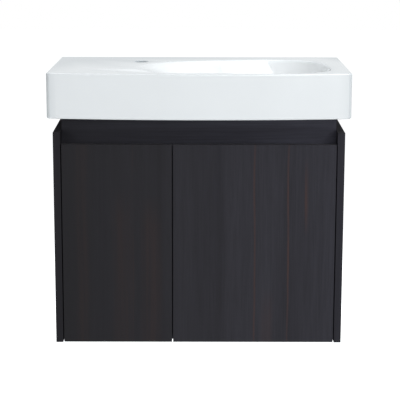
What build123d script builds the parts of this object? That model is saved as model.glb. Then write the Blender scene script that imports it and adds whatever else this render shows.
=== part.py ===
from build123d import *
import os
from math import asin, atan2, cos, hypot, radians, sin, sqrt

# Wall-hung vanity unit: a bow-fronted ceramic basin on a two-door cabinet.
# Units are millimetres. X runs to the right seen from the front, Y into the wall, Z up.
# The wall is the plane Y = 0. The origin is the centre of the four wall-screw holes.

# Cabinet
board = 18
cabinet_width = 724
cabinet_depth = 325
side_height = 540
base_z = -425
wall_face = 0
front_face = wall_face - cabinet_depth
inner_half = cabinet_width / 2 - board
soft_edge = 0.7

# Neck: the recessed frame between the side panels that carries the basin
neck_recess = 50
neck_height = 97
seal_thickness = 1
seal_width = 8
neck_front = front_face + neck_recess
neck_top = base_z + 576
neck_bottom = neck_top - neck_height

# Doors
door_gap = 2.5
door_thickness = 18
door_bottom = base_z + 1
door_height = 509.5
split_x = -66
door_back = front_face + door_thickness
door_edges = {
    "left": (-inner_half + door_gap, split_x - door_gap / 2),
    "right": (split_x + door_gap / 2, inner_half - door_gap),
}

# Inner boards
bottom_setback = 29.5
partition_setback = 19.8
back_rail_height = 100
shelf_depth = 240
shelf_z = base_z + 250
shelf_play = 1
pin_radius = 2.5
pin_depth = 9
pin_reach = 7
pin_columns_y = (-250, -90)

# Basin
basin_width = 750
basin_side_depth = 340
basin_bow = 24
basin_height = 113
basin_bottom = neck_top + seal_thickness
basin_top = basin_bottom + basin_height
apron = 14
back_apron = 16
deck = 15
seat_width = 16
front_corner = 10
top_round = 7
bottom_round = 4.5

# Bowl: a drop-shaped rim over an oval floor
bowl_depth = 95
bowl_shell = 12
rim_round = 5
rim_steps = 3
floor_x, floor_y = 205, -200
floor_half_x, floor_half_y = 88, 72
steep_reach = 60
ramp_reach = 200
rim_points = [
    (-168, -262),
    (-60, -326),
    (100, -337),
    (250, -331),
    (318, -285),
    (326, -190),
    (285, -85),
    (180, -56),
    (40, -76),
    (-90, -108),
    (-158, -172),
]
wall_steps = 7
shell_levels = (0, 0.75, 1)
tail_start = (-292, -268)
tail_end = (-110, -312)
tail_radius = 60
tail_depth = 7
drain_radius = 22.5
drain_seat_radius = 31
drain_seat_depth = 3
tap_x, tap_y = -150, -98
tap_radius = 17.5
wall_bolt_spacing = 280
wall_bolt_radius = 7
wall_bolt_z = basin_top - 50

# Concealed cup hinges
hinge_heights = {"lower": base_z + 95, "upper": base_z + 415}
cup_radius = 17.5
cup_wall = 1.2
cup_bore_depth = 13.5
cup_from_edge = 22.5
cup_flange = 1.2
cup_flange_height = 62
cup_flange_width = 24
cup_flange_radius = 19.5
cup_tab_corner = 4
cup_floor = 0.6
pivot_from_edge = 18
pivot_from_front = 7.8
pivot_pin_radius = 1.25
pivot_pin_half = 16
eye_clearance = 0.05
eye_radius = 2.3
arm_thickness = 2
arm_neck_height = 11
arm_height = 20
arm_angle = 56.5
arm_reach = 24
arm_u = 11
arm_back_v = 31.2
arm_end_v = 78
rail_half_height = 6
rail_start_v = 38
wing_half_height = 26
wing_half_width = 7
wing_thickness = 2
wing_v = 55

# Hanging hardware
wall_hole_spacing_x = 630
wall_hole_spacing_z = 32
wall_hole_radius = 3.5
sheet = 2.5
wall_plate_x = (294, 342)
hanger_x = (inner_half - 15.5, inner_half)
hanger_y = (-50, -10)
hanger_z = (-22, 42.5)
hook_sheet = 3
hanger_edge = 1.5

# Bumpers on the partition's front edge
bumper_radius = 3.5
bumper_thickness = 1.5
bumper_heights = (base_z + 60, base_z + 450)

os.makedirs("parts", exist_ok=True)


def save(solid, name):
    solid.label = name
    export_step(solid, f"parts/{name}.step")


def block(x_range, y_range, z_range):
    """Add a plain board between three pairs of limits to the active part."""
    centre = [(pair[0] + pair[1]) / 2 for pair in (x_range, y_range, z_range)]
    sizes = [abs(pair[1] - pair[0]) for pair in (x_range, y_range, z_range)]
    with Locations(tuple(centre)):
        Box(*sizes)


def side_sign(side):
    return -1 if side == "left" else 1


# Basin
def plan_outline(inset, back_inset):
    """Face of the basin's plan, straight at the wall and bowed at the front."""
    half = basin_width / 2 - inset
    front = -basin_side_depth + inset
    with BuildSketch() as plan:
        with BuildLine():
            Polyline((-half, front), (-half, -back_inset), (half, -back_inset), (half, front))
            ThreePointArc((half, front), (0, front - basin_bow), (-half, front))
        make_face()
        fillet(plan.vertices().group_by(Axis.Y)[0], front_corner)
    return plan.sketch


def bowl_points(level, grow, lip=0):
    """Points of the bowl's wall at a share of its depth, grown by a wall and a rounded lip.

    Where the rim is near the floor the wall is steep, a quarter of an ellipse. Where it is
    far, the wall is a ramp that leaves the deck and meets the floor without a crease.
    """
    steep = 1 - sqrt(1 - level**2)
    gentle = 0.5 - sin(asin(1 - 2 * level) / 3)
    points = []
    for x, y in rim_points:
        angle = atan2((y - floor_y) / floor_half_y, (x - floor_x) / floor_half_x)
        low_x = floor_x + floor_half_x * cos(angle)
        low_y = floor_y + floor_half_y * sin(angle)
        reach = hypot(x - low_x, y - low_y)
        ramp = min(1, max(0, (reach - steep_reach) / (ramp_reach - steep_reach)))
        inwards = ramp * gentle + (1 - ramp) * steep
        along = (reach * (1 - inwards) + grow + lip * (1 - ramp)) / reach
        points.append((low_x + (x - low_x) * along, low_y + (y - low_y) * along))
    return points


def bowl_section(height, points):
    """Level face inside a closed curve through points."""
    with BuildSketch(Plane.XY.offset(height)) as section:
        with BuildLine():
            Spline(*points, periodic=True)
        make_face()
    return section.sketch


def bowl_hollow():
    """Solid of the bowl's space, from the rounded rim down to the floor."""
    with BuildPart() as hollow:
        for step in range(rim_steps):
            turn = radians(90 * step / rim_steps)
            drop = rim_round * (1 - cos(turn))
            lip = rim_round * (1 - sin(turn))
            add(bowl_section(basin_top - drop, bowl_points(drop / bowl_depth, 0, lip)))
        add(bowl_section(basin_top - rim_round, bowl_points(rim_round / bowl_depth, 0)))
        for step in range(1, wall_steps + 1):
            level = sin(radians(90 * step / wall_steps))
            add(bowl_section(basin_top - bowl_depth * level, bowl_points(level, 0)))
        loft(ruled=True)
    return hollow.part


def bowl_shell_solid():
    """Solid of the ceramic shell that hangs under the deck around the bowl."""
    top = basin_top - deck / 2
    depth = bowl_depth + bowl_shell - deck / 2
    with BuildPart() as shell:
        for level in shell_levels:
            add(bowl_section(top - depth * level, bowl_points(level, bowl_shell)))
        loft(ruled=True)
    return shell.part


def tail_scoop():
    """Round scoop that starts level with the deck and deepens towards the bowl."""
    start = Vector(*tail_start, basin_top + tail_radius)
    end = Vector(*tail_end, basin_top + tail_radius - tail_depth)
    with BuildPart() as scoop:
        with BuildSketch(Plane(start, z_dir=end - start)):
            Circle(tail_radius)
        extrude(amount=(end - start).length)
    return scoop.part


with BuildPart() as bowl_space:
    add(bowl_hollow())
    drain_plane = Plane.XY.offset(basin_top - bowl_depth - drain_seat_depth)
    with BuildSketch(drain_plane):
        with Locations((floor_x, floor_y)):
            Circle(drain_seat_radius)
    extrude(amount=2 * drain_seat_depth)
    with BuildSketch(drain_plane):
        with Locations((floor_x, floor_y)):
            Circle(drain_radius)
    extrude(amount=-2 * bowl_shell)

with BuildPart() as basin:
    with BuildSketch(Plane.XY.offset(basin_top)):
        add(plan_outline(0, 0))
    extrude(amount=-basin_height)
    fillet(basin.edges().group_by(Axis.Z)[-1].sort_by(Axis.Y)[:-1], top_round)
    fillet(basin.edges().group_by(Axis.Z)[0].sort_by(Axis.Y)[:-1], bottom_round)

    # The underside is open, with a seat ring that stands on the neck
    with BuildSketch(Plane.XY.offset(basin_bottom)):
        add(plan_outline(apron, back_apron))
    extrude(amount=basin_height - deck, mode=Mode.SUBTRACT)
    seat_half = inner_half + 2
    seat_front = neck_front - 2
    with BuildSketch(Plane.XY.offset(basin_bottom)):
        with Locations((0, (seat_front - back_apron) / 2)):
            Rectangle(2 * seat_half, -seat_front - back_apron)
        with Locations((0, (seat_front + seat_width - back_apron) / 2)):
            Rectangle(
                2 * (seat_half - seat_width),
                -seat_front - seat_width - back_apron,
                mode=Mode.SUBTRACT,
            )
    extrude(amount=basin_height - deck)

    # Tap hole and the two wall-bolt holes
    with Locations((tap_x, tap_y, basin_top)):
        CounterSinkHole(tap_radius, tap_radius + 2, depth=2 * deck)
    with BuildSketch(Plane.XZ):
        with Locations((0, wall_bolt_z)):
            with GridLocations(wall_bolt_spacing, 0, 2, 1):
                Circle(wall_bolt_radius)
    extrude(amount=back_apron + 2, mode=Mode.SUBTRACT)

    # Bowl in its shell, with a softened rim
    add(bowl_shell_solid())
    add(bowl_space.part, mode=Mode.SUBTRACT)
    add(tail_scoop(), mode=Mode.SUBTRACT)

save(basin.part, "basin")


# Cabinet boards
def shelf_pegs(x_face, direction, radius, length):
    """Pair of pegs under the shelf, or their bores, square to one face."""
    with BuildPart() as pegs:
        with BuildSketch(Plane.YZ.offset(x_face)):
            for y in pin_columns_y:
                with Locations((y, shelf_z - pin_radius)):
                    Circle(radius)
        extrude(amount=direction * length)
    return pegs.part


def hinge_point(side, u, v):
    """Place u from the side panel's inner face and v behind the cabinet's front."""
    return (side_sign(side) * (inner_half - u), front_face + v)


partition_x = (split_x - board / 2, split_x + board / 2)

for side in ("left", "right"):
    sign = side_sign(side)
    x_range = (sign * inner_half, sign * (inner_half + board))
    with BuildPart() as side_panel:
        block(x_range, (front_face, wall_face), (base_z, base_z + side_height))
        chamfer(side_panel.faces().sort_by(Axis.Y)[0].edges(), soft_edge)
        if side == "left":
            add(shelf_pegs(-inner_half, -1, pin_radius, pin_depth), mode=Mode.SUBTRACT)
    save(side_panel.part, f"side_panel_{side}")

    with BuildPart() as neck_side:
        x_range = (sign * (inner_half - board), sign * inner_half)
        block(x_range, (neck_front + board, wall_face), (neck_bottom, neck_top))
    save(neck_side.part, f"neck_side_{side}")

with BuildPart() as bottom_panel:
    y_range = (front_face + bottom_setback, wall_face)
    block((-inner_half, inner_half), y_range, (base_z, base_z + board))
    chamfer(bottom_panel.edges().filter_by(Axis.X).group_by(Axis.Y)[0], soft_edge)
save(bottom_panel.part, "bottom_panel")

with BuildPart() as centre_partition:
    y_range = (front_face + partition_setback, wall_face - board)
    block(partition_x, y_range, (base_z + board, neck_bottom))
    add(shelf_pegs(partition_x[0], 1, pin_radius, pin_depth), mode=Mode.SUBTRACT)
save(centre_partition.part, "centre_partition")

with BuildPart() as lower_back_rail:
    z_range = (base_z + board, base_z + board + back_rail_height)
    block((-inner_half, inner_half), (wall_face - board, wall_face), z_range)
save(lower_back_rail.part, "lower_back_rail")

with BuildPart() as neck_front_rail:
    y_range = (neck_front, neck_front + board)
    block((-inner_half, inner_half), y_range, (neck_bottom, neck_top))
    chamfer(neck_front_rail.edges().filter_by(Axis.X).group_by(Axis.Y)[0], soft_edge)
save(neck_front_rail.part, "neck_front_rail")

with BuildPart() as neck_rear_rail:
    x_range = (-inner_half + board, inner_half - board)
    block(x_range, (wall_face - board, wall_face), (neck_bottom, neck_top))
save(neck_rear_rail.part, "neck_rear_rail")

with BuildPart() as basin_seal:
    seal_half = inner_half - (board - seal_width) / 2
    seal_edge = (board - seal_width) / 2
    seal_run = -neck_front - 2 * seal_edge
    with BuildSketch(Plane.XY.offset(neck_top)):
        with Locations((0, neck_front / 2)):
            Rectangle(2 * seal_half, seal_run)
            Rectangle(2 * (seal_half - seal_width), seal_run - 2 * seal_width, mode=Mode.SUBTRACT)
    extrude(amount=seal_thickness)
save(basin_seal.part, "basin_seal")

# Shelf on four pins in the left compartment
with BuildPart() as shelf:
    x_range = (-inner_half + shelf_play, partition_x[0] - shelf_play)
    y_middle = sum(pin_columns_y) / 2
    y_range = (y_middle - shelf_depth / 2, y_middle + shelf_depth / 2)
    block(x_range, y_range, (shelf_z, shelf_z + board))
    chamfer(shelf.edges().filter_by(Axis.X).group_by(Axis.Y)[0], soft_edge)
save(shelf.part, "shelf")

with BuildPart() as shelf_pins:
    peg_length = pin_depth + pin_reach
    add(shelf_pegs(-inner_half - pin_depth, 1, pin_radius - eye_clearance, peg_length))
    add(shelf_pegs(partition_x[0] + pin_depth, -1, pin_radius - eye_clearance, peg_length))
save(shelf_pins.part, "shelf_pins")

with BuildPart() as door_bumpers:
    with BuildSketch(Plane.XZ.offset(-(front_face + partition_setback))):
        left_x = (partition_x[0] + door_edges["left"][1]) / 2
        right_x = (partition_x[1] + door_edges["right"][0]) / 2
        for x in (left_x, right_x):
            for z in bumper_heights:
                with Locations((x, z)):
                    Circle(bumper_radius)
    extrude(amount=bumper_thickness)
save(door_bumpers.part, "door_bumpers")


# Doors and their concealed hinges
def cup_places(side):
    x = hinge_point(side, door_gap + cup_from_edge, 0)[0]
    return [(x, z) for z in hinge_heights.values()]


def cup_flange_outline():
    """Face of the cup's flange, a ring with a screw tab above and below it."""
    with BuildSketch() as flange:
        Rectangle(cup_flange_width, cup_flange_height)
        chamfer(flange.vertices(), cup_tab_corner)
        Circle(cup_flange_radius)
    return flange.sketch


def back_plane(height=0):
    """Plane on the doors' back, or a height behind it, that faces the front."""
    return Plane.XZ.offset(-door_back - height)


for side in ("left", "right"):
    with BuildPart() as door:
        z_range = (door_bottom, door_bottom + door_height)
        block(door_edges[side], (front_face, door_back), z_range)
        chamfer(door.faces().sort_by(Axis.Y)[0].edges(), soft_edge)
        with BuildSketch(back_plane()):
            with Locations(*cup_places(side)):
                Circle(cup_radius)
        extrude(amount=cup_bore_depth, mode=Mode.SUBTRACT)
    save(door.part, f"door_{side}")

    pivot_u = door_gap + pivot_from_edge
    pivot_place = hinge_point(side, pivot_u, pivot_from_front)
    for (level, z), cup_place in zip(hinge_heights.items(), cup_places(side)):
        with BuildPart() as cup:
            with BuildSketch(back_plane()):
                with Locations(cup_place):
                    Circle(cup_radius - eye_clearance)
            extrude(amount=cup_bore_depth - eye_clearance)
            with BuildSketch(back_plane()):
                with Locations(cup_place):
                    add(cup_flange_outline())
            extrude(amount=-cup_flange)
            with BuildSketch(back_plane(cup_flange)):
                with Locations(cup_place):
                    Circle(cup_radius - cup_wall)
            extrude(amount=cup_flange + cup_bore_depth - cup_floor, mode=Mode.SUBTRACT)
            with BuildSketch(Plane.XY.offset(z - pivot_pin_half)):
                with Locations(pivot_place):
                    Circle(pivot_pin_radius)
            extrude(amount=2 * pivot_pin_half)
        save(cup.part, f"hinge_cup_{side}_{level}")

        # The arm leaves the pin aslant, passes round the door's edge and lies on its plate
        reach_u = pivot_u + arm_reach * sin(radians(arm_angle))
        reach_v = pivot_from_front + arm_reach * cos(radians(arm_angle))
        route = (
            (pivot_u, pivot_from_front),
            (reach_u, reach_v),
            (reach_u - 0.5, arm_back_v),
            (arm_u, arm_back_v + 0.8),
            (arm_u, arm_end_v),
        )
        with BuildPart() as arm:
            with BuildSketch(Plane.XY.offset(z - arm_neck_height / 2)):
                with BuildLine():
                    FilletPolyline(*[hinge_point(side, u, v) for u, v in route], radius=3)
                trace(line_width=arm_thickness)
                with Locations(pivot_place):
                    Circle(eye_radius)
                    Circle(pivot_pin_radius + eye_clearance, mode=Mode.SUBTRACT)
            extrude(amount=arm_neck_height)
            outer_u = arm_u + arm_thickness / 2
            near_x, near_y = hinge_point(side, outer_u, arm_back_v + 5)
            far_x, far_y = hinge_point(side, arm_u - arm_thickness / 2, arm_end_v)
            block((near_x, far_x), (near_y, far_y), (z - arm_height / 2, z + arm_height / 2))
            low_x = hinge_point(side, wing_thickness + 1, 0)[0]
            for edge in (-1, 1):
                z_range = (z + edge * (arm_height / 2 - 1.5), z + edge * arm_height / 2)
                block((near_x, low_x), (near_y, far_y), z_range)
        save(arm.part, f"hinge_arm_{side}_{level}")

        with BuildPart() as plate:
            rail_x = hinge_point(side, arm_u - arm_thickness / 2, 0)[0]
            wall_x = hinge_point(side, 0, 0)[0]
            wing_x = hinge_point(side, wing_thickness, 0)[0]
            rail_y = (front_face + rail_start_v, front_face + arm_end_v)
            block((wall_x, rail_x), rail_y, (z - rail_half_height, z + rail_half_height))
            centre_y = front_face + wing_v
            wing_y = (centre_y - wing_half_width, centre_y + wing_half_width)
            block((wall_x, wing_x), wing_y, (z - wing_half_height, z + wing_half_height))
        save(plate.part, f"hinge_plate_{side}_{level}")

# Hanging hardware at the top rear corners
def sheet_profile(points, thickness, radius):
    """Bent sheet seen along X, as a face of even thickness."""
    with BuildSketch() as profile:
        with BuildLine():
            FilletPolyline(*points, radius=radius)
        trace(line_width=thickness)
    return profile.sketch


for side in ("left", "right"):
    sign = side_sign(side)
    with BuildPart() as wall_plate:
        lip_y = -2 * sheet - sheet / 2
        plate_route = ((-sheet / 2, -26), (-sheet / 2, 27), (lip_y - 0.5, 27), (lip_y - 0.5, 39))
        with BuildSketch(Plane.YZ.offset(sign * wall_plate_x[0])):
            add(sheet_profile(plate_route, sheet, 2))
        extrude(amount=sign * (wall_plate_x[1] - wall_plate_x[0]))
        with BuildSketch(Plane.XZ):
            with Locations((sign * wall_hole_spacing_x / 2, 0)):
                with GridLocations(0, wall_hole_spacing_z, 1, 2):
                    Circle(wall_hole_radius)
        extrude(amount=sheet, mode=Mode.SUBTRACT)
    save(wall_plate.part, f"wall_plate_{side}")

    with BuildPart() as hanger:
        block((sign * hanger_x[0], sign * hanger_x[1]), hanger_y, hanger_z)
        inner_side = hanger.faces().sort_by(Axis.X)[0 if sign > 0 else -1]
        chamfer(inner_side.edges(), hanger_edge)
    save(hanger.part, f"hanger_{side}")

    with BuildPart() as hook:
        hook_top = hanger_z[1] + hook_sheet / 2
        hook_route = ((hanger_y[0] + 4, hook_top), (-3.3, hook_top), (-3.3, 31))
        with BuildSketch(Plane.YZ.offset(sign * (hanger_x[0] + 2))):
            add(sheet_profile(hook_route, hook_sheet, 1.6))
        extrude(amount=sign * (hanger_x[1] - hanger_x[0] - 4))
    save(hook.part, f"hanger_hook_{side}")
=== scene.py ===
import bmesh
import bpy
import math
import numpy as np
from collections import namedtuple
from mathutils import Matrix, Vector


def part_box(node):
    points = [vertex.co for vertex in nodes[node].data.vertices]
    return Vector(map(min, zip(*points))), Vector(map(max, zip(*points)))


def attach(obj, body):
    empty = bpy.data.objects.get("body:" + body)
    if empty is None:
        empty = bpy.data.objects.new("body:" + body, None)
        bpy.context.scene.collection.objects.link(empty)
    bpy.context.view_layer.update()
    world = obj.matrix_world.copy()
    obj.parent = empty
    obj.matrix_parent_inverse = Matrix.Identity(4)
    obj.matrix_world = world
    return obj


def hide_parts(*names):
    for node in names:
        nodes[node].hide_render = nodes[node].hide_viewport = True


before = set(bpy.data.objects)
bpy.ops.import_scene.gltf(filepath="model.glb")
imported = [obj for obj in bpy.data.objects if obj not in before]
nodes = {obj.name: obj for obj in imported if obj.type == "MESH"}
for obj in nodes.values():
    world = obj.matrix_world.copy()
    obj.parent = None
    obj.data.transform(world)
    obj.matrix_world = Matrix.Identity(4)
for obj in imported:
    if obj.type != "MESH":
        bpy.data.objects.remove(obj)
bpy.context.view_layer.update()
scene = bpy.context.scene

SIDES = {"left": -1, "right": 1}


# Camera at the photograph's viewing angle
FOCAL_PX = 1513.1
IMAGE_PX = 400
SENSOR = 36
CAMERA_PLACE = Vector((-0.0061, -4.0165, 0.7351))
TILT = math.radians(12.07)
YAW = math.radians(0.14)
ROLL = math.radians(0.14)


def add_camera():
    forward = Vector((math.sin(YAW) * math.cos(TILT), math.cos(YAW) * math.cos(TILT), -math.sin(TILT)))
    level_right = Vector((math.cos(YAW), -math.sin(YAW), 0))
    level_up = level_right.cross(forward)
    right = level_right * math.cos(ROLL) + level_up * math.sin(ROLL)
    up = level_up * math.cos(ROLL) - level_right * math.sin(ROLL)
    turn = Matrix((right, up, -forward)).transposed().to_4x4()
    data = bpy.data.cameras.new("camera")
    data.lens = FOCAL_PX * SENSOR / IMAGE_PX
    data.sensor_width = SENSOR
    camera = bpy.data.objects.new("camera", data)
    camera.matrix_world = Matrix.Translation(CAMERA_PLACE) @ turn
    scene.collection.objects.link(camera)
    scene.camera = camera


add_camera()
scene.view_settings.view_transform = "Standard"


# Material helpers
def new_material(name):
    material = bpy.data.materials.new(name)
    material.use_nodes = True
    tree = material.node_tree
    shader = tree.nodes["Principled BSDF"]
    return material, tree, shader


def feed(tree, value, socket):
    """Link one socket to another, or set it to a number or a colour."""
    if isinstance(value, bpy.types.NodeSocket):
        tree.links.new(value, socket)
    elif isinstance(value, tuple):
        socket.default_value = (*value, 1)
    else:
        socket.default_value = value


def coordinates(tree, scale=(1, 1, 1)):
    """Object coordinates in metres times a scale along each axis."""
    source = tree.nodes.new("ShaderNodeTexCoord")
    mapping = tree.nodes.new("ShaderNodeMapping")
    mapping.inputs["Scale"].default_value = scale
    feed(tree, source.outputs["Object"], mapping.inputs["Vector"])
    return mapping.outputs["Vector"]


def axes_of(tree, vector):
    """The X, Y and Z sockets of a vector."""
    node = tree.nodes.new("ShaderNodeSeparateXYZ")
    feed(tree, vector, node.inputs["Vector"])
    return node.outputs


def noise(tree, vector, scale, detail=4, roughness=0.5, distortion=0):
    node = tree.nodes.new("ShaderNodeTexNoise")
    node.inputs["Scale"].default_value = scale
    node.inputs["Detail"].default_value = detail
    node.inputs["Roughness"].default_value = roughness
    node.inputs["Distortion"].default_value = distortion
    feed(tree, vector, node.inputs["Vector"])
    return node.outputs["Fac"]


def spread(tree, value, reach, result=(0, 1)):
    """Map a value's reach onto a result, held at both ends."""
    node = tree.nodes.new("ShaderNodeMapRange")
    node.inputs["From Min"].default_value, node.inputs["From Max"].default_value = reach
    node.inputs["To Min"].default_value, node.inputs["To Max"].default_value = result
    feed(tree, value, node.inputs["Value"])
    return node.outputs["Result"]


def math_node(tree, operation, *values):
    node = tree.nodes.new("ShaderNodeMath")
    node.operation = operation
    for socket, value in zip(node.inputs, values):
        feed(tree, value, socket)
    return node.outputs["Value"]


def blend_colors(tree, factor, first, second, kind="MIX"):
    """Mix of two colours, each a tuple or a socket."""
    node = tree.nodes.new("ShaderNodeMix")
    node.data_type = "RGBA"
    node.blend_type = kind
    feed(tree, factor, node.inputs["Factor"])
    feed(tree, first, node.inputs[6])
    feed(tree, second, node.inputs[7])
    return node.outputs[2]


def scale_color(tree, color, factor):
    """Colour times a factor that varies over the surface."""
    gray = tree.nodes.new("ShaderNodeCombineColor")
    for channel in ("Red", "Green", "Blue"):
        feed(tree, factor, gray.inputs[channel])
    return blend_colors(tree, 1, color, gray.outputs["Color"], "MULTIPLY")


def scaled(color, factor):
    return tuple(min(1, channel * factor) for channel in color)


def bump(tree, height, strength, distance, shader):
    node = tree.nodes.new("ShaderNodeBump")
    node.inputs["Strength"].default_value = strength
    node.inputs["Distance"].default_value = distance
    feed(tree, height, node.inputs["Height"])
    feed(tree, node.outputs["Normal"], shader.inputs["Normal"])


def edge_share(tree, reach=(0.52, 0.6)):
    """Share of convex edge by pointiness: wear on wood and steel, painted edge shade on the glaze."""
    geometry = tree.nodes.new("ShaderNodeNewGeometry")
    return spread(tree, geometry.outputs["Pointiness"], reach)


# Glazed ceramic
GLAZE_SHADED = (0.782, 0.788, 0.792)
GLAZE_LIGHT = (0.800, 0.806, 0.810)
# Painted shade colour for the glaze's rounded convex edges
GLAZE_PAINTED_EDGE_SHADE = (0.42, 0.45, 0.47)
GLAZE_EDGE = (0.505, 0.535)
GLAZE_IOR = 1.6


def ceramic_material():
    material, tree, shader = new_material("glazed_ceramic")
    place = coordinates(tree)
    clouds = spread(tree, noise(tree, place, scale=9, detail=3), (0.3, 0.7))
    color = blend_colors(tree, clouds, GLAZE_SHADED, GLAZE_LIGHT)
    # Painted shade: convex edges of the glaze are darkened to stand in for the darker reflection along the
    # rounded edges
    painted_edge_shade = math_node(tree, "MULTIPLY", edge_share(tree, GLAZE_EDGE), 0.9)
    color = blend_colors(tree, painted_edge_shade, color, GLAZE_PAINTED_EDGE_SHADE)
    feed(tree, color, shader.inputs["Base Color"])
    rough = spread(tree, noise(tree, place, scale=60, detail=3), (0.3, 0.7), (0.05, 0.1))
    feed(tree, rough, shader.inputs["Roughness"])
    shader.inputs["IOR"].default_value = GLAZE_IOR
    shader.inputs["Coat Weight"].default_value = 1
    shader.inputs["Coat IOR"].default_value = GLAZE_IOR
    shader.inputs["Coat Roughness"].default_value = 0.04
    bump(tree, noise(tree, place, scale=140, detail=2), 0.04, 0.0004, shader)
    return material


# Dark stained wood
WENGE_DARK = (0.0062, 0.0061, 0.0094)
WENGE_LIGHT = (0.0150, 0.0146, 0.0200)
# Paler colour shared by wear on convex edges and by painted light on faces that look up
WEAR_AND_TOP_LIGHT = (0.05, 0.047, 0.05)
RED = (0.034, 0.0155, 0.0125)
BLUE = (0.0050, 0.0052, 0.0105)
GRAIN_STRETCH = 0.035
# Painted light: span across X of the darker-left, lighter-right gradient
PAINTED_LIGHT_REACH = (-0.36, 0.36)
STREAK_FADE = 0.08
DOOR_SPECULAR = 0.045
BELOW_DOOR = -0.50
ABOVE_DOOR = 0.16

Streak = namedtuple("Streak", "centre half drift low high tint share")

LEFT_DOOR_STREAKS = (
    Streak(-0.292, 0.018, 0.02, BELOW_DOOR, ABOVE_DOOR, RED, 0.8),
    Streak(-0.243, 0.026, 0.02, BELOW_DOOR, ABOVE_DOOR, BLUE, 0.7),
    Streak(-0.190, 0.030, 0.03, BELOW_DOOR, -0.02, RED, 0.6),
    Streak(-0.165, 0.002, 0.01, BELOW_DOOR, ABOVE_DOOR, RED, 1.0),
    Streak(-0.120, 0.030, 0.03, BELOW_DOOR, -0.04, RED, 0.6),
)
RIGHT_DOOR_STREAKS = (
    Streak(0.140, 0.003, 0.012, BELOW_DOOR, ABOVE_DOOR, RED, 1.0),
    Streak(0.224, 0.003, 0.012, BELOW_DOOR, ABOVE_DOOR, RED, 1.0),
    Streak(0.270, 0.006, 0.010, -0.15, 0.06, RED, 0.9),
    Streak(0.050, 0.010, 0.030, -0.10, ABOVE_DOOR, BLUE, 0.5),
    Streak(0.170, 0.020, 0.030, BELOW_DOOR, -0.28, RED, 0.35),
)


def add_streaks(tree, color, axes, streaks):
    """Upright bands that wander sideways and break up into strands."""
    wander = noise(tree, coordinates(tree, (0.2, 0.2, 1)), scale=4, detail=3)
    strands = noise(tree, coordinates(tree, (1, 1, 0.02)), scale=130, detail=4, roughness=0.7)
    breakup = spread(tree, strands, (0.38, 0.6), (0.2, 1))
    for streak in streaks:
        shift = math_node(tree, "MULTIPLY_ADD", wander, streak.drift, -streak.drift / 2)
        across = math_node(tree, "ADD", axes["X"], shift)
        distance = math_node(tree, "ABSOLUTE", math_node(tree, "SUBTRACT", across, streak.centre))
        amount = spread(tree, distance, (streak.half * 0.3, streak.half), (streak.share, 0))
        low_end = spread(tree, axes["Z"], (streak.low, streak.low + STREAK_FADE))
        high_end = spread(tree, axes["Z"], (streak.high - STREAK_FADE, streak.high), (1, 0))
        for share in (low_end, high_end, breakup):
            amount = math_node(tree, "MULTIPLY", amount, share)
        color = blend_colors(tree, amount, color, streak.tint)
    return color


def wood_material(name, along, painted_light_ends, streaks=(), specular=0.08, painted_top_light=0):
    """Dark stained board with its grain along one axis, and reddish or bluish streaks.

    The end factors are painted light and shade: the colour is darker at the unit's left end and
    lighter at its right. The top share is painted light from above: faces that look up are paler by it.
    """
    material, tree, shader = new_material(name)
    place = coordinates(tree, tuple(GRAIN_STRETCH if axis == along else 1 for axis in "XYZ"))
    axes = axes_of(tree, tree.nodes.new("ShaderNodeTexCoord").outputs["Object"])
    broad = noise(tree, place, scale=26, detail=4, roughness=0.55, distortion=0.6)
    fine = noise(tree, place, scale=240, detail=5, roughness=0.65, distortion=0.3)
    pores = noise(tree, place, scale=900, detail=2)
    color = blend_colors(tree, spread(tree, broad, (0.32, 0.68)), WENGE_DARK, WENGE_LIGHT)
    color = scale_color(tree, color, spread(tree, fine, (0.35, 0.65), (0.8, 1.2)))
    if streaks:
        color = add_streaks(tree, color, axes, streaks)
    # Painted light: the colour darkens towards the unit's left and brightens towards its right, standing in
    # for light and sheen from the right
    color = scale_color(tree, color, spread(tree, axes["X"], PAINTED_LIGHT_REACH, painted_light_ends))
    normal = axes_of(tree, tree.nodes.new("ShaderNodeNewGeometry").outputs["Normal"])
    worn_edges = math_node(tree, "MULTIPLY", edge_share(tree), 0.35)
    # Painted light: faces that look up are paler, as if lit from above; convex edges are paler with wear
    painted_top_faces = spread(tree, normal["Z"], (0.8, 1), (0, painted_top_light))
    color = blend_colors(tree, math_node(tree, "MAXIMUM", worn_edges, painted_top_faces), color, WEAR_AND_TOP_LIGHT)
    feed(tree, color, shader.inputs["Base Color"])
    feed(tree, spread(tree, fine, (0.3, 0.7), (0.36, 0.5)), shader.inputs["Roughness"])
    shader.inputs["Specular IOR Level"].default_value = specular
    fibres = math_node(tree, "MULTIPLY", fine, 0.7)
    pits = math_node(tree, "MULTIPLY", pores, 0.3)
    bump(tree, math_node(tree, "ADD", fibres, pits), 0.25, 0.0003, shader)
    return material


# Plated steel, soft pads and sealant
def steel_material(name, color, rough):
    material, tree, shader = new_material(name)
    stains = spread(tree, noise(tree, coordinates(tree), scale=90), (0.35, 0.65))
    mixed = blend_colors(tree, stains, scaled(color, 0.82), color)
    worn = math_node(tree, "MULTIPLY", edge_share(tree), 0.5)
    mixed = blend_colors(tree, worn, mixed, scaled(color, 1.15))
    feed(tree, mixed, shader.inputs["Base Color"])
    shader.inputs["Metallic"].default_value = 1
    scratches = noise(tree, coordinates(tree, (1, 1, 0.1)), scale=1600, detail=3)
    feed(tree, spread(tree, scratches, (0.3, 0.7), rough), shader.inputs["Roughness"])
    bump(tree, scratches, 0.12, 0.00008, shader)
    return material


def soft_material(name, color, rough):
    material, tree, shader = new_material(name)
    place = coordinates(tree)
    mottle = spread(tree, noise(tree, place, scale=300, detail=3), (0.3, 0.7))
    feed(tree, blend_colors(tree, mottle, scaled(color, 0.9), color), shader.inputs["Base Color"])
    sheen = noise(tree, place, scale=900, detail=2)
    feed(tree, spread(tree, sheen, (0.3, 0.7), (rough - 0.06, rough + 0.06)), shader.inputs["Roughness"])
    bump(tree, noise(tree, place, scale=700, detail=3), 0.2, 0.0001, shader)
    return material


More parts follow.
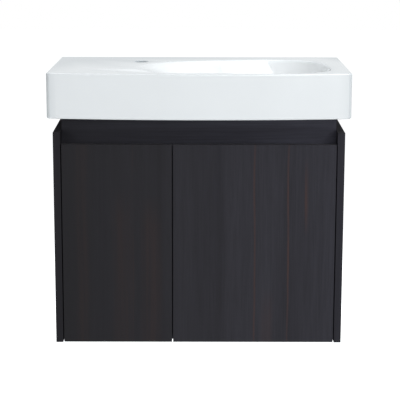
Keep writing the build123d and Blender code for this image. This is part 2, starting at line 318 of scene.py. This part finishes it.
ceramic = ceramic_material()
# Each pair of end factors is painted light, darker at the left and lighter at the right; the front rail's is
# strongest, and the right door is painted lighter than the left
wood_upright = wood_material("dark_wood_upright", "Z", (0.6, 1.6), specular=0, painted_top_light=0.9)
wood_level = wood_material("dark_wood_level", "X", (0.95, 3.0))
wood_rail = wood_material("dark_wood_front_rail", "X", (1.2, 4.8))
wood_deep = wood_material("dark_wood_deep", "Y", (0.8, 1.5))
wood_left_door = wood_material("dark_wood_left_door", "Z", (0.3, 1.35), LEFT_DOOR_STREAKS,
                               specular=DOOR_SPECULAR, painted_top_light=0.7)
wood_right_door = wood_material("dark_wood_right_door", "Z", (0.35, 1.85), RIGHT_DOOR_STREAKS,
                                specular=DOOR_SPECULAR, painted_top_light=0.7)
steel = steel_material("plated_steel", (0.60, 0.60, 0.59), (0.22, 0.36))
pads = soft_material("soft_pads", (0.62, 0.63, 0.63), 0.45)
sealant = soft_material("sealant", (0.68, 0.68, 0.66), 0.35)
shadow = soft_material("bore_shadow", (0.004, 0.004, 0.004), 0.8)

NODE_MATERIALS = {
    "basin": ceramic,
    "basin_seal": sealant,
    "door_bumpers": pads,
    "side_panel_left": wood_upright,
    "side_panel_right": wood_upright,
    "centre_partition": wood_upright,
    "neck_side_left": wood_deep,
    "neck_side_right": wood_deep,
    "neck_front_rail": wood_rail,
    "neck_rear_rail": wood_level,
    "lower_back_rail": wood_level,
    "bottom_panel": wood_level,
    "shelf": wood_level,
    "door_left": wood_left_door,
    "door_right": wood_right_door,
}


# Mesh helpers
def finish_mesh(obj, material, sharp_degrees):
    """Give an object one material, and smooth it up to an angle between faces."""
    obj.data.materials.clear()
    obj.data.materials.append(material)
    obj.data.polygons.foreach_set("use_smooth", [True] * len(obj.data.polygons))
    obj.data.set_sharp_from_angle(angle=math.radians(sharp_degrees))


def dress(obj, material, body, sharp_degrees=30):
    """Finish a new piece and let it ride on a body."""
    finish_mesh(obj, material, sharp_degrees)
    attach(obj, body)
    return obj


def mesh_object(name, vertices, faces):
    mesh = bpy.data.meshes.new(name)
    mesh.from_pydata([tuple(vertex) for vertex in vertices], [], faces)
    obj = bpy.data.objects.new(name, mesh)
    scene.collection.objects.link(obj)
    return obj


def loft_rows(name, rows):
    """Closed mesh through level loops of equal length, from the lowest to the highest."""
    count = len(rows[0])
    vertices = [point for row in rows for point in row]
    faces = []
    for low in range(len(rows) - 1):
        base = low * count
        for k in range(count):
            after = (k + 1) % count
            faces.append((base + k, base + after, base + count + after, base + count + k))
    faces.append(tuple(reversed(range(count))))
    last = (len(rows) - 1) * count
    faces.append(tuple(range(last, last + count)))
    return mesh_object(name, vertices, faces)


def cut(target, tool):
    """Take a tool's space out of a target's mesh. The tool is removed."""
    modifier = target.modifiers.new("solid", "BOOLEAN")
    modifier.operation = "DIFFERENCE"
    modifier.solver = "EXACT"
    modifier.object = tool
    graph = bpy.context.evaluated_depsgraph_get()
    result = bpy.data.meshes.new_from_object(target.evaluated_get(graph))
    target.modifiers.clear()
    target.data = result
    bpy.data.objects.remove(tool)


def merge_flat_faces(obj):
    """Join the faces that lie in one plane, which cuts leave in strips."""
    work = bmesh.new()
    work.from_mesh(obj.data)
    bmesh.ops.dissolve_limit(work, angle_limit=math.radians(0.05), verts=work.verts, edges=work.edges)
    work.to_mesh(obj.data)
    work.free()


def box_rows(name, x_range, y_range, z_range):
    rows = []
    for z in z_range:
        rows.append([(x_range[0], y_range[0], z), (x_range[1], y_range[0], z),
                     (x_range[1], y_range[1], z), (x_range[0], y_range[1], z)])
    return loft_rows(name, rows)


def ring_rows(centre, profile, count):
    """Loops round an upright axis from pairs of radius and height."""
    rows = []
    for radius, z in profile:
        row = []
        for k in range(count):
            angle = 2 * math.pi * k / count
            row.append((centre[0] + radius * math.cos(angle), centre[1] + radius * math.sin(angle), z))
        rows.append(row)
    return rows


for name, node in nodes.items():
    finish_mesh(node, NODE_MATERIALS.get(name, steel), 32)


# Basin: the same form as its solid, with finer curves
BASIN_BOTTOM = 0.152
BASIN_TOP = 0.265
HALF_WIDTH = 0.375
SIDE_FRONT = -0.340
BOW = 0.024
LEFT_TAPER = 0.010
RIGHT_TAPER = 0.006
FRONT_CORNER = 0.010
TOP_ROUND = 0.003
BOTTOM_ROUND = 0.0045
APRON = 0.014
BACK_APRON = 0.016
DECK = 0.015
BOWL_DEPTH = 0.095
BOWL_SHELL = 0.012
RIM_ROUND = 0.005
BOWL_FLOOR = (0.205, -0.200)
BOWL_FLOOR_HALF = (0.088, 0.072)
BOWL_MIDDLE = (0.080, -0.200)
STEEP_REACH = 0.060
RAMP_REACH = 0.200
SEAT_HALF = 0.346
SEAT_FRONT = -0.277
SEAT_WALL = 0.016
TAP_PLACE = (-0.150, -0.098)
TAP_RADIUS = 0.0175
TAP_EASE = 0.002
DRAIN_RADIUS = 0.0225
DRAIN_SEAT_RADIUS = 0.031
DRAIN_SEAT = 0.003
BOLT_X = 0.140
BOLT_Z = 0.215
BOLT_RADIUS = 0.007
SCOOP_START = (-0.300, -0.262)
SCOOP_END = (-0.125, -0.292)
SCOOP_DEPTH = 0.006
SCOOP_WIDTH = 0.040
RIM_POINTS = (
    (-0.168, -0.262), (-0.060, -0.326), (0.100, -0.337), (0.250, -0.331), (0.318, -0.285), (0.326, -0.190),
    (0.285, -0.085), (0.180, -0.056), (0.040, -0.076), (-0.090, -0.108), (-0.158, -0.172),
)

# Fineness of the basin's curves, and how far a cut runs past what it cuts
ROUND_STEPS = 8
CORNER_STEPS = 8
BOW_STEPS = 24
RIM_STEPS = 24
DECK_STEPS = 48
WALL_STEPS = 24
ROW_DETAIL = 300
HOLE_SIDES = 64
BOLT_SIDES = 32
SHELL_LEVELS = (1, 0.75, 0.4, 0)
PAST = 0.010
QUARTER = [math.radians(90 * k / ROUND_STEPS) for k in range(ROUND_STEPS + 1)]


def closed_spline(points, per_span):
    """Smooth closed curve through points, with the same number of samples in each span."""
    knots = np.array(points)
    count = len(knots)
    step = np.linalg.norm(np.roll(knots, -1, axis=0) - knots, axis=1)
    system = np.zeros((count, count))
    change = (np.roll(knots, -1, axis=0) - knots) / step[:, None]
    for k in range(count):
        system[k, k - 1] += step[k - 1]
        system[k, k] += 2 * (step[k - 1] + step[k])
        system[k, (k + 1) % count] += step[k]
    bend = np.linalg.solve(system, 6 * (change - np.roll(change, 1, axis=0)))
    samples = []
    for k in range(count):
        after = (k + 1) % count
        for part in range(per_span):
            t = part / per_span
            u = 1 - t
            weight = step[k] ** 2 / 6
            samples.append(u * knots[k] + t * knots[after]
                           + weight * ((u**3 - u) * bend[k] + (t**3 - t) * bend[after]))
    return samples


def bowl_row(rim, level, z, grow=0, lip=0):
    """Loop of the bowl's wall at a share of its depth."""
    steep = 1 - math.sqrt(max(0, 1 - level**2))
    gentle = 0.5 - math.sin(math.asin(1 - 2 * level) / 3)
    row = []
    for x, y in rim:
        angle = math.atan2((y - BOWL_FLOOR[1]) / BOWL_FLOOR_HALF[1], (x - BOWL_FLOOR[0]) / BOWL_FLOOR_HALF[0])
        low_x = BOWL_FLOOR[0] + BOWL_FLOOR_HALF[0] * math.cos(angle)
        low_y = BOWL_FLOOR[1] + BOWL_FLOOR_HALF[1] * math.sin(angle)
        reach = math.hypot(x - low_x, y - low_y)
        ramp = min(1, max(0, (reach - STEEP_REACH) / (RAMP_REACH - STEEP_REACH)))
        inwards = ramp * gentle + (1 - ramp) * steep
        along = (reach * (1 - inwards) + grow + lip * (1 - ramp)) / reach
        row.append((low_x + (x - low_x) * along, low_y + (y - low_y) * along, z))
    return row


def plan_row(half, side_front, inset, back, z):
    """Loop of the basin's plan, drawn in by an inset at its sides and front."""
    bow_radius = (half**2 + BOW**2) / (2 * BOW)
    bow_centre = side_front - BOW + bow_radius
    corner_x = half - FRONT_CORNER
    corner_y = bow_centre - math.sqrt((bow_radius - FRONT_CORNER) ** 2 - corner_x**2)
    meet = math.atan2(corner_y - bow_centre, corner_x)
    radius = FRONT_CORNER - inset
    right_side = [(half - inset, back)]
    for k in range(CORNER_STEPS + 1):
        angle = meet * k / CORNER_STEPS
        right_side.append((corner_x + radius * math.cos(angle), corner_y + radius * math.sin(angle)))
    for k in range(1, BOW_STEPS):
        angle = meet + (-math.pi / 2 - meet) * k / BOW_STEPS
        reach = bow_radius - inset
        right_side.append((reach * math.cos(angle), bow_centre + reach * math.sin(angle)))
    front = (0, side_front - BOW + inset)
    left_side = [(-x, y) for x, y in reversed(right_side)]
    drawn_in = []
    for x, y in reversed(right_side + [front] + left_side):
        share = max(0, 1 - y / SIDE_FRONT)
        taper = LEFT_TAPER if x < 0 else RIGHT_TAPER
        drawn_in.append((x * (1 - taper / HALF_WIDTH * share), y, z))
    return drawn_in


def polar_row(row, angles):
    """Points of a level loop in the given directions from the bowl's middle."""
    places = np.array([(x - BOWL_MIDDLE[0], y - BOWL_MIDDLE[1]) for x, y, *rest in row])
    steps = np.arange(ROW_DETAIL) / ROW_DETAIL
    ahead = np.roll(places, -1, axis=0)
    dense = (places[:, None] + (ahead - places)[:, None] * steps[None, :, None]).reshape(-1, 2)
    turns = np.arctan2(dense[:, 1], dense[:, 0])
    order = np.argsort(turns)
    reach = np.hypot(dense[:, 0], dense[:, 1])
    found = np.interp(angles, turns[order], reach[order], period=2 * math.pi)
    return [(BOWL_MIDDLE[0] + r * math.cos(a), min(0, BOWL_MIDDLE[1] + r * math.sin(a)))
            for r, a in zip(found, angles)]


def scoop_depth(x, y):
    """Depth of the soft channel that runs along the deck into the bowl."""
    start, end = Vector(SCOOP_START), Vector(SCOOP_END)
    run = end - start
    offset = Vector((x, y)) - start
    along = offset.dot(run) / run.length_squared
    across = abs(offset.cross(run)) / run.length
    rise = min(1, max(0, along))
    fade = min(1, max(0, 2 - along))
    depth = SCOOP_DEPTH * rise**1.5 * fade * fade * (3 - 2 * fade)
    width = SCOOP_WIDTH * (0.45 + 0.55 * rise)
    share = max(0, 1 - (across / width) ** 2)
    return depth * share * share


def side_row(angles, inset, z):
    plan = polar_row(plan_row(HALF_WIDTH, SIDE_FRONT, inset, 0, z), angles)
    return [(x, y, z) for x, y in plan]


def side_rows(angles):
    """Loops up the basin's outside, from its rounded foot to its top edge."""
    rows = []
    for angle in QUARTER:
        inset = BOTTOM_ROUND * (1 - math.sin(angle))
        rows.append(side_row(angles, inset, BASIN_BOTTOM + BOTTOM_ROUND * (1 - math.cos(angle))))
    for angle in QUARTER:
        inset = TOP_ROUND * (1 - math.cos(angle))
        rows.append(side_row(angles, inset, BASIN_TOP - TOP_ROUND * (1 - math.sin(angle))))
    return rows


def deck_rows(edge_row, rim):
    """Loops from the top edge across the deck to the bowl's lip."""
    lip_row = bowl_row(rim, 0, BASIN_TOP, 0, RIM_ROUND)
    rows = [edge_row]
    for step in range(1, DECK_STEPS):
        share = step / DECK_STEPS
        rows.append([tuple(Vector(edge).lerp(Vector(lip), share)) for edge, lip in zip(edge_row, lip_row)])
    return rows


def bowl_rows(rim):
    """Loops over the bowl's rounded lip and down its wall."""
    rows = []
    for angle in QUARTER:
        drop = RIM_ROUND * (1 - math.cos(angle))
        lip = RIM_ROUND * (1 - math.sin(angle))
        rows.append(bowl_row(rim, drop / BOWL_DEPTH, BASIN_TOP - drop, 0, lip))
    for step in range(1, WALL_STEPS + 1):
        level = math.sin(math.radians(90 * step / WALL_STEPS))
        if level * BOWL_DEPTH > 1.05 * RIM_ROUND:
            rows.append(bowl_row(rim, level, BASIN_TOP - BOWL_DEPTH * level))
    return rows


def underside(rim):
    """Hollow under the deck, clear of the bowl's shell and the seat on the cabinet."""
    hollow = loft_rows("under", [plan_row(HALF_WIDTH - APRON, SIDE_FRONT + APRON, 0, -BACK_APRON, z)
                                 for z in (BASIN_BOTTOM - PAST, BASIN_TOP - DECK)])
    seat = box_rows("seat", (-SEAT_HALF, SEAT_HALF), (SEAT_FRONT, PAST), (BASIN_BOTTOM - 2 * PAST, BASIN_TOP))
    seat_inner = box_rows("seat_inner", (SEAT_WALL - SEAT_HALF, SEAT_HALF - SEAT_WALL),
                          (SEAT_FRONT + SEAT_WALL, 2 * PAST), (BASIN_BOTTOM - 3 * PAST, BASIN_TOP + PAST))
    cut(seat, seat_inner)
    cut(hollow, seat)
    shell_depth = BOWL_DEPTH + BOWL_SHELL
    shell_rows = [bowl_row(rim, level, BASIN_TOP - shell_depth * level, BOWL_SHELL) for level in SHELL_LEVELS]
    cut(hollow, loft_rows("shell", shell_rows))
    return hollow


def cut_holes(body):
    """Tap hole with an eased edge, drain hole with its seat, and two wall-bolt holes."""
    tap_edge = TAP_RADIUS + TAP_EASE
    tap = [(TAP_RADIUS, BASIN_TOP - 2 * DECK), (TAP_RADIUS, BASIN_TOP - TAP_EASE),
           (tap_edge, BASIN_TOP), (tap_edge, BASIN_TOP + DECK)]
    cut(body, loft_rows("tap", ring_rows(TAP_PLACE, tap, HOLE_SIDES)))
    floor_z = BASIN_TOP - BOWL_DEPTH
    drain = [(DRAIN_RADIUS, floor_z - 2 * BOWL_SHELL), (DRAIN_RADIUS, floor_z - DRAIN_SEAT),
             (DRAIN_SEAT_RADIUS, floor_z - DRAIN_SEAT), (DRAIN_SEAT_RADIUS, floor_z + DRAIN_SEAT)]
    cut(body, loft_rows("drain", ring_rows(BOWL_FLOOR, drain, HOLE_SIDES)))
    for sign in SIDES.values():
        bolt = ring_rows((0, 0), [(BOLT_RADIUS, -PAST), (BOLT_RADIUS, BACK_APRON + PAST)], BOLT_SIDES)
        bolt = [[(sign * BOLT_X + x, -z, BOLT_Z + y) for x, y, z in row] for row in bolt]
        cut(body, loft_rows("bolt", bolt))


def basin_piece():
    rim = closed_spline(RIM_POINTS, RIM_STEPS)
    outline = plan_row(HALF_WIDTH, SIDE_FRONT, 0, 0, BASIN_TOP)
    angles = sorted(math.atan2(y - BOWL_MIDDLE[1], x - BOWL_MIDDLE[0]) for x, y, *rest in rim + outline)
    rim = polar_row(rim, angles)
    rows = side_rows(angles)
    top_rows = deck_rows(rows.pop(), rim) + bowl_rows(rim)
    rows += [[(x, y, z - scoop_depth(x, y)) for x, y, z in row] for row in top_rows]
    body = loft_rows("basin_glazed", rows)
    cut(body, underside(rim))
    cut_holes(body)
    merge_flat_faces(body)
    return body


basin = basin_piece()
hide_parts("basin")
dress(basin, ceramic, "cabinet", 28)
weights = basin.modifiers.new("weights", "WEIGHTED_NORMAL")
weights.keep_sharp = True


# Screw heads, joint fittings and peg bores, each size a radius and a height
CUP_SCREW = (0.0032, 0.0014)
PLATE_SCREW = (0.0036, 0.0016)
ARM_SCREW = (0.0034, 0.0016)
HANGER_SCREW = (0.0040, 0.0020)
CAM = (0.0075, 0.0006)
PEG_BORE = (0.0025, 0.0001)

HINGE_LEVELS = (-0.330, -0.010)
CUP_X = 0.319
CUP_FLANGE_BACK = -0.3058
CUP_SCREW_Z = 0.024
PLATE_FACE_X = 0.342
PLATE_SCREW_Y = -0.270
PLATE_SCREW_Z = 0.016
ARM_FACE_X = 0.332
ARM_SCREWS_Y = (-0.280, -0.259)
HANGER_X = 0.33625
HANGER_FRONT = -0.050
HANGER_SCREWS_Z = (-0.008, 0.026)
BOTTOM_CAM_X = 0.310
BOTTOM_CAMS_Y = (-0.235, -0.060)
NECK_CAM_X = 0.292
NECK_BACK_Y = -0.257
NECK_CAMS_Z = (0.0775, 0.1275)
SIDE_INNER_X = -0.344
PARTITION_X = -0.075
BORES_Y = (-0.250, -0.090)
BORE_MIDDLE_Z = -0.1775
BORE_STEP = 0.064


def screw_head(radius, height):
    """Domed head with a cross recess, standing on the plane Z = 0."""
    profile = [(radius, -0.0002), (radius, height * 0.35), (radius * 0.86, height * 0.75),
               (radius * 0.55, height * 0.96), (radius * 0.1, height)]
    head = loft_rows("head", ring_rows((0, 0), profile, 28))
    slot_half, slot_reach = radius * 0.11, radius * 0.58
    for reach_x, reach_y in ((slot_reach, slot_half), (slot_half, slot_reach)):
        slot = box_rows("slot", (-reach_x, reach_x), (-reach_y, reach_y), (height * 0.35, height * 2))
        cut(head, slot)
    return head


def peg_bore(radius, depth):
    """Rim and dark bottom of a drilled hole, drawn as a dished disc on the plane Z = 0."""
    profile = [(radius * 1.08, -depth), (radius * 1.08, depth), (radius * 0.9, depth * 0.6),
               (radius * 0.1, depth * 0.5)]
    return loft_rows("bore", ring_rows((0, 0), profile, 24))


def placed_group(name, pattern, places, facing, material, body):
    """One piece made of copies of a pattern, each turned to face one way."""
    turn = Vector(facing).to_track_quat("Z", "Y").to_matrix()
    source = [vertex.co.copy() for vertex in pattern.data.vertices]
    polygons = [tuple(polygon.vertices) for polygon in pattern.data.polygons]
    vertices = []
    faces = []
    for place in places:
        base = len(vertices)
        vertices += [turn @ co + Vector(place) for co in source]
        faces += [tuple(base + k for k in polygon) for polygon in polygons]
    bpy.data.objects.remove(pattern)
    return dress(mesh_object(name, vertices, faces), material, body)


def fasteners(name, size, places, facing, body="cabinet"):
    placed_group(name, screw_head(*size), places, facing, steel, body)


for side, sign in SIDES.items():
    cups = [(sign * CUP_X, CUP_FLANGE_BACK, z + step)
            for z in HINGE_LEVELS for step in (-CUP_SCREW_Z, CUP_SCREW_Z)]
    fasteners(f"cup_screws_{side}", CUP_SCREW, cups, (0, 1, 0), f"door_{side}")
    plates = [(sign * PLATE_FACE_X, PLATE_SCREW_Y, z + step)
              for z in HINGE_LEVELS for step in (-PLATE_SCREW_Z, PLATE_SCREW_Z)]
    fasteners(f"plate_screws_{side}", PLATE_SCREW, plates, (-sign, 0, 0))
    arms = [(sign * ARM_FACE_X, y, z) for z in HINGE_LEVELS for y in ARM_SCREWS_Y]
    fasteners(f"arm_screws_{side}", ARM_SCREW, arms, (-sign, 0, 0))
    hangers = [(sign * HANGER_X, HANGER_FRONT, z) for z in HANGER_SCREWS_Z]
    fasteners(f"hanger_screws_{side}", HANGER_SCREW, hangers, (0, -1, 0))

panel_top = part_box("bottom_panel")[1][2]
cams = [(sign * BOTTOM_CAM_X, y, panel_top) for sign in SIDES.values() for y in BOTTOM_CAMS_Y]
fasteners("bottom_cams", CAM, cams, (0, 0, 1))
cams = [(sign * NECK_CAM_X, NECK_BACK_Y, z) for sign in SIDES.values() for z in NECK_CAMS_Z]
fasteners("neck_cams", CAM, cams, (0, 1, 0))
for name, x, facing in (("bores_side", SIDE_INNER_X, 1), ("bores_partition", PARTITION_X, -1)):
    bores = [(x, y, BORE_MIDDLE_Z + step) for y in BORES_Y for step in (-BORE_STEP, BORE_STEP)]
    placed_group(name, peg_bore(*PEG_BORE), bores, (facing, 0, 0), shadow, "cabinet")


# Floor and background
COOL = (0.945, 0.98, 1.0)
WHITE = (1.0, 1.0, 1.0)
GROUND_Z = -1.05
GROUND_HALF = 14
GROUND_LIFT = 0.75
GROUND_MIRRORED = 0.2
WORLD_MIRRORED = 0.75
WORLD_LEVEL = 0.34


def seen_directly(tree, path):
    """One where the camera sees a surface, straight or through glass."""
    return math_node(tree, "MAXIMUM", path.outputs["Is Camera Ray"], path.outputs["Is Transmission Ray"])


def add_floor():
    corners = [(x * GROUND_HALF, y * GROUND_HALF, GROUND_Z) for x, y in ((-1, -1), (1, -1), (1, 1), (-1, 1))]
    floor = mesh_object("floor", corners, [(0, 1, 2, 3)])
    material, tree, shader = new_material("floor")
    feed(tree, (0.9, 0.9, 0.9), shader.inputs["Base Color"])
    shader.inputs["Roughness"].default_value = 0.9
    shader.inputs["Specular IOR Level"].default_value = 0
    path = tree.nodes.new("ShaderNodeLightPath")
    lift = math_node(tree, "MULTIPLY", seen_directly(tree, path), GROUND_LIFT)
    mirrored = math_node(tree, "MULTIPLY", path.outputs["Is Glossy Ray"], GROUND_MIRRORED)
    feed(tree, math_node(tree, "MAXIMUM", lift, mirrored), shader.inputs["Emission Strength"])
    feed(tree, WHITE, shader.inputs["Emission Color"])
    floor.data.materials.append(material)


def add_world():
    world = bpy.data.worlds.new("studio")
    world.use_nodes = True
    tree = world.node_tree
    background = tree.nodes["Background"]
    path = tree.nodes.new("ShaderNodeLightPath")
    color = blend_colors(tree, path.outputs["Is Camera Ray"], COOL, WHITE)
    feed(tree, color, background.inputs["Color"])
    mirrored = math_node(tree, "MULTIPLY", path.outputs["Is Glossy Ray"], WORLD_MIRRORED)
    seen = math_node(tree, "MAXIMUM", seen_directly(tree, path), mirrored)
    feed(tree, math_node(tree, "MAXIMUM", seen, WORLD_LEVEL), background.inputs["Strength"])
    scene.world = world


# Lamps, each with its place, target, size, power in watts and whether glossy surfaces show it
LAMPS = {
    "key": ((2.05, -2.4, 1.45), (0.05, -0.2, 0.1), (4.4, 2.6), 92, True),
    "fill": ((-2.4, -2.8, 0.6), (0, -0.2, 0), (1.8, 1.8), 26, False),
    "ceiling": ((0.45, -1.25, 2.3), (0.1, -0.2, 0.2), (1.3, 0.9), 9, True),
    "top": ((0.0, 0.6, 2.4), (0.0, -0.2, 0.2), (1.6, 1.0), 36, False),
    "back": ((0.3, 2.8, 1.2), (0, -0.1, 0), (2.2, 1.6), 34, False),
}


def add_lamp(name, place, target, size, power, mirrored):
    data = bpy.data.lights.new(name, "AREA")
    data.shape = "RECTANGLE"
    data.size, data.size_y = size
    data.energy = power
    data.color = COOL
    lamp = bpy.data.objects.new(name, data)
    lamp.location = place
    lamp.rotation_euler = (Vector(target) - Vector(place)).to_track_quat("-Z", "Y").to_euler()
    lamp.visible_glossy = mirrored
    scene.collection.objects.link(lamp)


add_floor()
add_world()
for name, settings in LAMPS.items():
    add_lamp(name, *settings)
